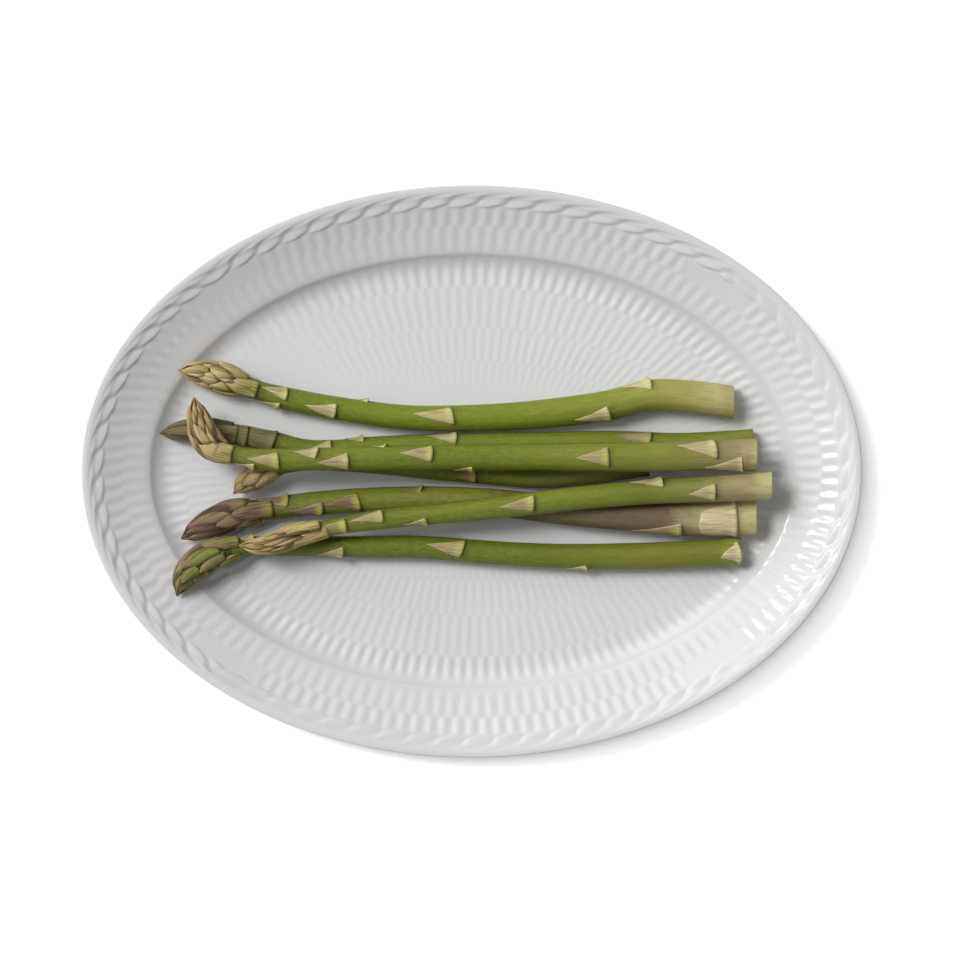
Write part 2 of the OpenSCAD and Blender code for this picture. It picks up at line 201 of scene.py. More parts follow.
def make_mesh(name, points, faces, values=(), surface=None, materials=(), material_index=None):
    """A smooth mesh in metres from points in millimetres, with values on its points and perhaps a UV map."""
    mesh = bpy.data.meshes.new(name)
    mesh.from_pydata((np.asarray(points) * MM).tolist(), [], faces)
    for key, value in dict(values).items():
        layer = mesh.attributes.new(key, "FLOAT", "POINT")
        layer.data.foreach_set("value", np.asarray(value, np.float32))
    if surface is not None:
        corners = np.zeros(len(mesh.loops), np.int32)
        mesh.loops.foreach_get("vertex_index", corners)
        places = np.asarray(surface)[corners].astype(np.float32).ravel()
        mesh.uv_layers.new(name="surface").data.foreach_set("uv", places)
    for material in materials:
        mesh.materials.append(material)
    if material_index is not None:
        mesh.polygons.foreach_set("material_index", np.asarray(material_index, np.int32))
    mesh.polygons.foreach_set("use_smooth", np.ones(len(mesh.polygons), bool))
    mesh.validate()
    piece = bpy.data.objects.new(name, mesh)
    bpy.context.scene.collection.objects.link(piece)
    return piece


# Materials


def srgb(red, green, blue):
    """A colour as it looks on a screen, from 0 to 255, as linear values."""
    levels = np.array([red, green, blue]) / 255
    linear = np.where(levels <= 0.04045, levels / 12.92, ((levels + 0.055) / 1.055) ** 2.4)
    return (*linear.tolist(), 1)


def grey(level):
    return (level, level, level, 1)


class Nodes:
    """Shader nodes of a material or a world, built up by short calls. Inputs are values or node outputs."""

    def __init__(self, owner):
        owner.use_nodes = True
        self.tree = owner.node_tree

    def node(self, kind, inputs=None, **settings):
        made = self.tree.nodes.new("ShaderNode" + kind)
        for key, value in settings.items():
            setattr(made, key, value)
        for key, value in (inputs or {}).items():
            if isinstance(value, bpy.types.NodeSocket):
                self.tree.links.new(value, made.inputs[key])
            else:
                made.inputs[key].default_value = value
        return made

    def math(self, operation, first, second):
        return self.node("Math", {0: first, 1: second}, operation=operation).outputs[0]

    def ramp(self, factor, stops):
        made = self.node("ValToRGB", {"Fac": factor})
        elements = made.color_ramp.elements
        while len(elements) < len(stops):
            elements.new(0.5)
        for element, (position, colour) in zip(elements, stops):
            element.position = position
            element.color = colour
        return made.outputs["Color"]

    def levels(self, factor, *stops):
        """Grey levels by a factor."""
        return self.ramp(factor, [(position, grey(level)) for position, level in stops])

    def colours(self, factor, *stops):
        """Screen colours by a factor."""
        return self.ramp(factor, [(position, srgb(*colour)) for position, colour in stops])

    def seen_directly(self):
        """1 for what the camera sees, also in a reflection or through glass, and 0 for light on things."""
        paths = self.node("LightPath").outputs
        seen = self.math("MAXIMUM", paths["Is Camera Ray"], paths["Is Glossy Ray"])
        return self.math("MAXIMUM", seen, paths["Is Transmission Ray"])

    def show(self, output, light, shown):
        """Ends with one shader for light on the object and another for what is seen directly."""
        chosen = self.node("MixShader", {0: self.seen_directly(), 1: light.outputs[0], 2: shown.outputs[0]})
        self.node(output, {"Surface": chosen.outputs[0]})


class Shader(Nodes):
    """A material of the object."""

    def __init__(self, name, **sockets):
        self.material = bpy.data.materials.new(name)
        super().__init__(self.material)
        self.principled = self.tree.nodes["Principled BSDF"]
        for key, value in sockets.items():
            self.principled.inputs[key.replace("_", " ")].default_value = value

    def attribute(self, name):
        return self.node("Attribute", attribute_name=name).outputs["Fac"]

    def in_space(self):
        return self.node("TexCoord").outputs["Object"]

    def on_surface(self, stretch):
        source = self.node("UVMap", uv_map="surface").outputs["UV"]
        return self.node("Mapping", {"Vector": source, "Scale": (*stretch, 1)}).outputs["Vector"]

    def noise(self, stretch=None, scale=1.0, detail=4.0, roughness=0.55):
        """Noise in space or, with a stretch, on the surface."""
        place = self.on_surface(stretch) if stretch else self.in_space()
        inputs = {"Vector": place, "Scale": scale, "Detail": detail, "Roughness": roughness}
        return self.node("TexNoise", inputs).outputs["Fac"]

    def mix(self, factor, first, second, blend="MIX"):
        made = self.node("Mix", {0: factor, 6: first, 7: second}, data_type="RGBA", blend_type=blend)
        return made.outputs[2]

    def times(self, first, second):
        return self.mix(1.0, first, second, "MULTIPLY")

    def bump(self, height, strength, distance):
        inputs = {"Height": height, "Strength": strength, "Distance": distance * MM}
        return self.node("Bump", inputs).outputs["Normal"]

    def set(self, **sockets):
        for key, value in sockets.items():
            self.tree.links.new(value, self.principled.inputs[key.replace("_", " ")])
        return self.material


def porcelain_glaze():
    shader = Shader("porcelain_glaze", IOR=1.5, Specular_IOR_Level=0.35)
    clouds = shader.noise(scale=18.0, detail=3.0)
    colour = shader.colours(clouds, (0.3, (210, 211, 213)), (0.7, (215, 215, 215)))
    orange_peel = shader.noise(scale=220.0, detail=2.0)
    roughness = shader.levels(orange_peel, (0.3, 0.1), (0.7, 0.15))
    return shader.set(Base_Color=colour, Roughness=roughness, Normal=shader.bump(orange_peel, 0.12, 0.15))


def bare_foot():
    shader = Shader("bare_porcelain", IOR=1.5)
    grain = shader.noise(scale=1500.0, detail=5.0)
    colour = shader.colours(grain, (0.3, (214, 210, 202)), (0.7, (228, 225, 219)))
    roughness = shader.levels(grain, (0.3, 0.6), (0.7, 0.75))
    return shader.set(Base_Color=colour, Roughness=roughness, Normal=shader.bump(grain, 0.5, 0.1))


def stalk_skin(number, stops):
    """Skin of a stalk: colours by the share of its length, streaked along it, with specks and fine ribs."""
    shader = Shader(f"stalk_{number}", IOR=1.45, Specular_IOR_Level=0.3)
    wander = shader.noise((60, 12), detail=3.0)
    drift = shader.math("MULTIPLY", shader.math("SUBTRACT", wander, 0.5), 0.1)
    share = shader.math("ADD", shader.attribute("share"), drift)
    streaks = shader.noise((420, 14), detail=5.0, roughness=0.6)
    shades = shader.colours(streaks, (0.28, (196, 200, 176)), (0.5, (232, 236, 222)), (0.74, (255, 255, 236)))
    colour = shader.times(shader.colours(share, *stops), shades)
    patches = shader.noise((90, 40), detail=2.0)
    pale = shader.levels(patches, (0.45, 0), (0.75, 0.3))
    green = shader.levels(shader.attribute("share"), (0.5, 1), (0.8, 0))
    colour = shader.mix(shader.times(pale, green), colour, srgb(152, 164, 66))
    specks = shader.noise((330, 190), detail=1.0)
    dark = shader.levels(specks, (0.74, 0), (0.8, 0.45))
    colour = shader.mix(dark, colour, srgb(84, 78, 40))
    # Painted shade from the shade attribute, darker just behind each leaf's base
    colour = shader.times(colour, shader.attribute("shade"))
    roughness = shader.levels(streaks, (0.3, 0.36), (0.7, 0.52))
    ribs = shader.noise((700, 9), detail=3.0)
    return shader.set(Base_Color=colour, Roughness=roughness, Normal=shader.bump(ribs, 0.35, 0.25))


def cut_face(number, rind, pith):
    """Cut end: a pale wet core with darker fibre ends, and a greener rind."""
    shader = Shader(f"cut_{number}", IOR=1.4)
    edge = shader.colours(shader.attribute("rim"), (0.55, pith), (0.95, rind))
    fibres = shader.node("TexVoronoi", {"Vector": shader.in_space(), "Scale": 1300.0}).outputs["Distance"]
    colour = shader.times(edge, shader.levels(fibres, (0.12, 0.72), (0.4, 1)))
    roughness = shader.levels(fibres, (0, 0.35), (1, 0.6))
    return shader.set(Base_Color=colour, Roughness=roughness, Normal=shader.bump(fibres, 0.5, 0.2))


def leaf_skin(name, streak, edge, body, point, margin):
    """Papery scale: a bright band at its base, a dull body, another colour at its point and sides, a thin
    margin, and dark streaks along it."""
    shader = Shader(name, IOR=1.4, Specular_IOR_Level=0.25)
    streaks = shader.noise((7, 0.9), roughness=0.65)
    along = ((0, edge), (0.1, edge), (0.3, body), (0.55, body), (0.9, point))
    colour = shader.colours(shader.attribute("share"), *along)
    colour = shader.mix(shader.attribute("tint"), colour, srgb(*point))
    sides = shader.levels(shader.attribute("side"), (0.35, 0), (0.85, 0.5))
    colour = shader.mix(sides, colour, srgb(*point))
    rim = shader.levels(shader.attribute("side"), (0.78, 0), (0.96, 0.9))
    patches = shader.noise((2.2, 1.6), detail=2.0)
    rim = shader.times(rim, shader.levels(patches, (0.42, 0.1), (0.58, 1)))
    colour = shader.mix(rim, colour, srgb(*margin))
    colour = shader.mix(shader.attribute("pale"), colour, srgb(*CREAM))
    shades = shader.colours(streaks, (0.32, streak), (0.5, (234, 230, 222)), (0.66, (255, 255, 250)))
    # The shade attribute is painted shade on the bud's scales and core, and 1 on the leaves
    colour = shader.times(shader.times(colour, shades), shader.attribute("shade"))
    roughness = shader.levels(streaks, (0.3, 0.5), (0.7, 0.7))
    return shader.set(Base_Color=colour, Roughness=roughness, Normal=shader.bump(streaks, 0.4, 0.2))


# Platter


def flute_angle(share):
    """Eccentric angle of an even share of the turn: flutes crowd along the long sides, as on the solid."""
    angle = share
    for _ in range(CROWDING_PASSES):
        angle = share + math.radians(CROWDING) * np.sin(2 * angle)
    return angle


def rim_height(inset):
    """Height of the rim, which is slightly hollow inside its border."""
    part = np.clip((inset - BORDER_END) / (RIM_WIDTH - BORDER_END), 0, 1)
    straight = SHOULDER_HEIGHT + (RIM_WIDTH - inset) * (RIM_DROP - LIP_FALL) / (RIM_WIDTH - LIP_WIDTH)
    return straight - RIM_BOW * 4 * part * (1 - part)


def plain_profile(inset):
    """Height of the upper surface without its relief and lip."""
    rise = np.clip((LIP_CREST - inset) / LIP_CREST, 0, 1)
    edge = DISH_HEIGHT - EDGE_HEIGHT * (1 - (1 - rise ** EDGE_POWER) ** (1 / EDGE_POWER))
    left = np.clip((WALL_FOOT - inset) / (WALL_FOOT - WELL_START), 0, 1)
    wall = WALL_FOOT_HEIGHT + (rim_height(WELL_START) - WALL_FOOT_HEIGHT) * left ** WALL_CURVE
    floor = np.interp(inset, (WALL_FOOT, ROW_STARTS[-1]), (WALL_FOOT_HEIGHT, FLOOR_HEIGHT))
    return np.select([inset < LIP_CREST, inset < WELL_START, inset < WALL_FOOT],
                     [edge, rim_height(inset), wall], floor)


def profile(inset):
    """The plain profile with its shoulder rounded."""
    offsets = np.linspace(-SHOULDER_ROUND, SHOULDER_ROUND, SHOULDER_SAMPLES)
    rounded = np.mean([plain_profile(inset + offset) for offset in offsets], axis=0)
    return np.where(inset < BORDER_END, plain_profile(inset), rounded)


def cord_strand(position, across):
    """Height of the twisted cords. Each climbs to a crest and drops into a crease, with a bead beside it: its
    broad head bulges inwards, and its tail narrows past a hollow to the lip."""
    after = (position - np.interp(across, CREASE_ACROSS, CREASE_ALONG)) % 1
    power = np.interp(across, CLIMB_ACROSS, CLIMB_POWERS)
    climb = np.sin(math.pi / 2 * np.clip(after / CORD_CREST, 0, 1)) ** power
    drop = 1 - smoothstep(after, CORD_CREST, 1)
    from_bead = (position - BEAD_ALONG + 0.5) % 1 - 0.5
    bead = BEAD_HEIGHT * np.exp(-(from_bead / BEAD_LENGTH) ** 2 - ((across - BEAD_ACROSS) / BEAD_WIDTH) ** 2)
    head = HEAD_EDGE + HEAD_BULGE * np.sin(math.pi * (position % 1))
    height = np.where(after < CORD_CREST, climb, drop) + bead
    return height * (1 - smoothstep(across, head - HEAD_ROUND, head))


def panel_share(angle):
    """How far a point lies inside one of the four plain panels, by its angle from the ends."""
    turn = np.degrees(angle) % 180
    from_ends = np.minimum(turn, 180 - turn)
    return 1 - smoothstep(np.abs(from_ends - PANEL_ANGLE), PANEL_HALF_ANGLE - PANEL_FADE, PANEL_HALF_ANGLE)


def flute_relief(inset, share, angle):
    """Height of the flutes, which swap ridge and hollow from row to row."""
    wave = np.cos(FLUTES * share)
    depth = np.zeros_like(inset)
    for row, (start, height) in enumerate(zip(ROW_STARTS, ROW_RELIEFS)):
        arrived = smoothstep(inset, start - ROW_BEND, start + ROW_BEND)
        wave = wave * (1 - 2 * arrived if row else 1)
        depth = depth + arrived * (height - (ROW_RELIEFS[row - 1] if row else 0))
    depth = depth * (1 - smoothstep(inset, ROW_STARTS[-1], RELIEF_END))
    faded = FADE_SHARE * (smoothstep(inset, *FADE_OUT) * (1 - smoothstep(inset, *FADE_IN)))
    outer_row = 1 - smoothstep(inset, ROW_STARTS[1] - ROW_BEND, ROW_STARTS[1] + ROW_BEND)
    return depth / 2 * wave * (1 - faded) * (1 - panel_share(angle) * outer_row)


def border_relief(inset, share, angle):
    """Height of the lip and of the cords, which twist the other way along the ends than along the sides."""
    across = (inset - LIP_WIDTH) / (BORDER_END - LIP_WIDTH)
    turns = -CORDS * share / (2 * math.pi)
    change = (math.sin(math.radians(PANEL_ANGLE + side * TWIST_CHANGE)) for side in (-1, 1))
    sides = smoothstep(np.abs(np.sin(angle)), *change)
    strands = sides * cord_strand(turns, across) + (1 - sides) * cord_strand(-turns, across)
    lip = (1 - smoothstep(inset, LIP_INNER, LIP_END)) * (DISH_HEIGHT - rim_height(inset))
    return np.where(inset < LIP_CREST, 0, lip + smoothstep(across, *CORD_RISE) * CORD_HEIGHT * strands)


def ring_insets():
    """Insets of the rings of the upper surface: close at the lip, the border and the ends of rows."""
    border = np.linspace(LIP_WIDTH, BORDER_END, BORDER_RINGS)
    rows = []
    for start, end in zip(ROW_STARTS, (*ROW_STARTS[1:], RELIEF_END)):
        steps = WALL_RINGS if start == RIM_WIDTH else max(3, round((end - start) / RING_SPACING))
        rows += [start + ROW_EDGE, *np.linspace(start + ROW_BEND, end - ROW_BEND, steps), end - ROW_EDGE, end]
    return np.unique(np.round([*LIP_RINGS, *border, *rows], 3))


def ring(inset, height, angle):
    return np.stack([(HALF_LENGTH - inset) * np.cos(angle), (HALF_WIDTH - inset) * np.sin(angle),
                     np.broadcast_to(height, angle.shape)], axis=-1)


def between(start, end, shares):
    """Places on a straight line at shares of its length."""
    return [tuple(np.array(start) + np.subtract(end, start) * share) for share in shares]


def underside_rings():
    """Inset and height of the rings of the underside, from the edge to the foot ring and in to the middle."""
    lean = math.atan2(SHOULDER_HEIGHT - WALL_FOOT_HEIGHT, WALL_RUN)
    under = FLOOR_HEIGHT - PORCELAIN
    outer = FOOT_INSET - FOOT_WIDTH / 2
    inner = FOOT_INSET + FOOT_WIDTH / 2
    edge = (UNDER_EDGE[0], DISH_HEIGHT - EDGE_HEIGHT - UNDER_EDGE[1])
    lip = (LIP_WIDTH / 2, DISH_HEIGHT - EDGE_UNDERSIDE)
    shoulder = (RIM_WIDTH - PORCELAIN * math.sin(lean / 2), SHOULDER_HEIGHT - PORCELAIN * math.cos(lean / 2))
    wall_rise = (SHOULDER_HEIGHT - WALL_FOOT_HEIGHT) * (1 - math.sin(math.pi / 2 * WALL_MIDDLE))
    wall = (RIM_WIDTH + WALL_MIDDLE * WALL_RUN - PORCELAIN * math.sin(lean),
            WALL_FOOT_HEIGHT + wall_rise - PORCELAIN * math.cos(lean))
    foot = [(outer - FOOT_TAPER - FILLET_RUN, under + FILLET_RISE), (outer - FOOT_TAPER, under - FILLET_DROP),
            (outer - BEVEL_RUN, BEVEL_RISE), (outer + TREAD_INSET, 0), (inner - TREAD_INSET, 0),
            (inner + BEVEL_RUN, BEVEL_RISE), (inner + FOOT_TAPER, under - FILLET_DROP),
            (inner + FOOT_TAPER + FILLET_RUN, under)]
    return [edge, lip, *between(lip, shoulder, RIM_SHARES), *between(shoulder, wall, WALL_SHARES), *foot,
            *((inset, under) for inset in UNDER_FLOOR)]


def step_down(fine_ring, coarse_ring):
    """Faces between a fine ring of points and a coarse one."""
    return [(*(fine_ring + (FACET_STEP * i + k) % FINE for k in range(FACET_STEP + 1)),
             coarse_ring + (i + 1) % COARSE, coarse_ring + i) for i in range(COARSE)]


def platter():
    """The platter in rings: fine ones from the edge inwards, then coarse ones in the middle and below."""
    share = np.arange(FINE) * 2 * math.pi / FINE
    angle = flute_angle(share)
    rings = []
    for inset in ring_insets():
        level = np.full(FINE, inset)
        height = profile(level) + (flute_relief(level, share, angle) + border_relief(level, share, angle))
        rings.append(ring(inset, height, angle))
    coarse = angle[::FACET_STEP]
    inner = [ring(MIDDLE_INSET, FLOOR_HEIGHT, coarse) * (size, size, 1) for size in MIDDLE_SIZES]
    below = underside_rings()
    under = [ring(inset, height, coarse) for inset, height in below]
    points = np.concatenate([*rings, *inner, [(0, 0, FLOOR_HEIGHT)],
                             *under, [(0, 0, FLOOR_HEIGHT - PORCELAIN)]])
    inner_start = len(rings) * FINE
    hub = inner_start + len(inner) * COARSE
    under_start = hub + 1
    under_hub = under_start + len(under) * COARSE
    faces = grid_faces(len(rings), FINE, closed=True)
    faces += step_down(inner_start - FINE, inner_start)
    faces += grid_faces(len(inner), COARSE, inner_start, closed=True)
    faces += fan(hub - COARSE, hub, COARSE)
    faces += turned(step_down(0, under_start))
    first_under = len(faces)
    faces += turned(grid_faces(len(under), COARSE, under_start, closed=True))
    faces += turned(fan(under_hub - COARSE, under_hub, COARSE))
    bare = np.zeros(len(faces), np.int32)
    for k, ((_, height), (_, next_height)) in enumerate(zip(below, below[1:])):
        if max(height, next_height) <= BEVEL_RISE:
            bare[first_under + k * COARSE:first_under + (k + 1) * COARSE] = 1
    materials = (porcelain_glaze(), bare_foot())
    piece = make_mesh("platter", points, faces, materials=materials, material_index=bare)
    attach(piece, "dish")
    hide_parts("dish")


# Spears

# Routes in plan, from the point of the tip to the cut end, as in the solids
ROUTES = {
    1: [(-107.5, 37), (-94, 35), (-78.5, 29.7), (-62, 25.4), (-42, 22), (-21, 19.6), (6, 19.8), (30, 21.5),
        (50, 24.2), (65, 27.8), (80, 27.4), (96, 25.3)],
    2: [(-114.5, 14), (-101, 15), (-86, 13.4), (-73, 10.9), (-62, 8), (-51, 7.6), (-38, 8.6), (-22, 9.4),
        (-6, 9.9), (22, 10), (50, 10.4), (78, 9.4), (103, 10.7)],
    3: [(-101, 27), (-100, 21), (-97.5, 13.5), (-93, 8.2), (-85, 5.8), (-72, 4.2), (-52, 4.6), (-26, 4.9),
        (4, 5.1), (32, 5.2), (60, 5.2), (84, 5.8), (103.5, 6)],
    4: [(-87.3, -8.2), (-81.5, -3.4), (-72, 1), (-60, 3.2), (-46, 3), (-30, 1.8), (-12, 0), (10, -1.8),
        (26, -2.8), (44, -1), (65, 2)],
    5: [(-106.5, -24.7), (-94, -18.2), (-81, -14.6), (-66, -12.6), (-44, -10.8), (-18, -10.3), (8, -11.4),
        (32, -14), (56, -15.9), (80, -17.2), (104, -16.7)],
    6: [(-84.7, -27), (-75, -27), (-63, -23.2), (-50, -20.2), (-32, -17.4), (-8, -15), (16, -12.4),
        (40, -9.6), (64, -7.5), (88, -6.3), (109, -5.2)],
    7: [(-107.7, -45.6), (-104, -37.4), (-96, -31.2), (-85, -27.6), (-68, -27.2), (-44, -27.6),
        (-18, -27.8), (8, -29.8), (32, -31), (58, -31), (80, -30.3), (98.5, -29.2)]}
# Length of the tip, then diameters of the tip, the neck, the stalk behind it and the cut end
SIZES = {
    1: (30, 11, 7, 8.4, 12.4), 2: (32, 9, 7.6, 7.8, 9.8), 3: (28, 10.6, 6, 8, 11.8),
    4: (20, 8.6, 5.6, 6, 7.4), 5: (35, 11.2, 7.6, 8.8, 13.2), 6: (36, 8.4, 5.8, 7.2, 10.2),
    7: (32, 11.6, 6.2, 7.8, 10.4)}
NECK_RUN = 14
GIRTH_POWER = 1.3
# Radius of a tip as a share of its diameter, by the share of its length from the point
TIP_PLACES = (0, 0.2, 0.48, 0.75)
TIP_RADII = (0.08, 0.34, 0.5, 0.46)
# Scale leaves: distance of the base from the spear's point, angle round the stalk, length, half the angle of
# the base, and paleness, where -1 means the colour of the leaf's point. Wider leaves than this are sheaths
SHEATH_ANGLE = 70
LEAVES = {
    1: [(41, 62, 10, 46, 0.1), (39, 165, 8, 44, 0), (60, 112, 12, 44, 0.3), (71, 8, 5, 24, 0),
        (103, 78, 15, 46, 0.2), (160, 138, 13, 46, 0.5), (176, 30, 10, 40, 0.6)],
    2: [(32.6, 100, 8, 84, -1), (42.8, 80, 10.5, 86, -1), (64, 76, 9, 50, 0.4), (76, 20, 7, 34, 0.2),
        (110, 46, 11, 44, 0.3), (181, 58, 14, 44, 0.1)],
    3: [(45, 96, 12, 50, 0), (36, 170, 8, 48, 0.1), (59, 50, 9, 42, 0.2), (70, 112, 12, 46, 0.2),
        (84, 8, 5, 22, 0), (100, 66, 12, 44, 0.1), (115, 168, 7, 34, 0), (165, 92, 12, 46, 0),
        (203, 60, 14, 46, 0.4), (214, 138, 15, 46, 0.5)],
    4: [(34, 80, 8, 44, 0), (92, 107, 10, 44, 0)],
    5: [(54, 131, 13, 46, 0), (42, 44, 12, 50, 0), (68, 98, 13, 48, 0), (91, 30, 6, 28, 0),
        (186, 150, 18, 42, 0.3), (206, 110, 14, 82, 1)],
    6: [(40, 100, 13, 56, 0), (54, 66, 13, 44, 0.2), (70, 148, 9, 40, 0), (109, 90, 13, 46, 0.1),
        (156, 30, 12, 42, 0.4), (175.5, 108, 10, 44, 0.3)],
    7: [(36, 28, 6, 46, 0), (69, 134, 10, 42, 0.2), (113, 80, 14, 48, 0.2), (159, 168, 8, 36, 0.5),
        (213, 100, 6, 50, 0.8)]}
# Stalk colours by the share of its length from the neck to the cut end
STALK_COLOURS = {
    1: [(0, (112, 118, 48)), (0.1, (118, 130, 40)), (0.5, (126, 138, 40)), (0.74, (138, 144, 54)),
        (0.9, (174, 168, 98)), (1, (206, 192, 148))],
    2: [(0, (106, 108, 60)), (0.15, (114, 124, 40)), (0.8, (120, 130, 42)), (1, (136, 140, 56))],
    3: [(0, (114, 118, 50)), (0.1, (118, 128, 42)), (0.55, (116, 126, 38)), (0.78, (130, 136, 52)),
        (0.86, (144, 142, 70)), (0.91, (152, 142, 92)), (0.94, (158, 142, 116)), (0.985, (166, 150, 116)),
        (1, (182, 170, 112))],
    4: [(0, (110, 108, 60)), (0.2, (112, 118, 48)), (1, (112, 116, 48))],
    5: [(0, (112, 112, 60)), (0.12, (126, 132, 54)), (0.42, (124, 126, 54)), (0.52, (116, 98, 76)),
        (0.81, (120, 100, 88)), (0.89, (190, 176, 136)), (1, (216, 202, 152))],
    6: [(0, (118, 120, 56)), (0.12, (110, 120, 38)), (0.55, (122, 132, 42)), (0.7, (122, 130, 52)),
        (0.86, (138, 138, 76)), (0.89, (160, 144, 112)), (0.95, (168, 152, 118)), (0.97, (188, 178, 132)),
        (1, (202, 194, 150))],
    7: [(0, (100, 108, 40)), (0.15, (104, 116, 36)), (0.6, (110, 120, 36)), (0.8, (128, 130, 48)),
        (0.95, (124, 126, 50)), (1, (160, 160, 80))]}
# Colours of the cut end: rind and pith
CUT_COLOURS = {
    1: ((176, 166, 96), (214, 206, 164)), 2: ((150, 158, 72), (204, 202, 150)),
    3: ((168, 158, 96), (208, 200, 156)), 4: ((140, 146, 70), (196, 192, 146)),
    5: ((204, 190, 140), (222, 212, 174)), 6: ((188, 184, 118), (222, 216, 176)),
    7: ((150, 158, 72), (214, 210, 164))}
# Colours of the bud's scales: base, body, point and margin
BUD_COLOURS = {
    1: ((184, 182, 108), (182, 176, 118), (206, 182, 140), (220, 208, 166)),
    2: ((132, 132, 88), (134, 126, 96), (126, 110, 88), (196, 182, 142)),
    3: ((186, 182, 112), (188, 176, 124), (194, 166, 124), (220, 208, 160)),
    4: ((194, 188, 120), (198, 182, 132), (170, 146, 112), (220, 206, 160)),
    5: ((160, 158, 86), (140, 122, 98), (130, 106, 98), (186, 170, 136)),
    6: ((190, 184, 112), (196, 182, 126), (190, 162, 118), (220, 206, 160)),
    7: ((148, 162, 76), (128, 136, 70), (144, 122, 102), (184, 174, 126))}
# Colours of the leaves along the stalk, in the same order
LEAF_COLOURS = {
    1: ((192, 198, 106), (180, 168, 122), (192, 182, 136), (208, 198, 156)),
    2: ((176, 182, 94), (168, 154, 114), (122, 118, 84), (200, 188, 146)),
    3: ((184, 188, 98), (172, 158, 116), (184, 172, 128), (206, 194, 152)),
    4: ((176, 176, 88), (164, 144, 104), (150, 126, 94), (196, 180, 134)),
    5: ((172, 176, 88), (144, 122, 102), (136, 112, 98), (186, 170, 136)),
    6: ((178, 184, 92), (160, 146, 108), (172, 158, 118), (202, 190, 148)),
    7: ((180, 184, 98), (174, 156, 116), (178, 158, 122), (206, 194, 152))}
CREAM = (224, 213, 174)
BUD_STREAK = (150, 136, 112)
LEAF_STREAK = (192, 182, 164)
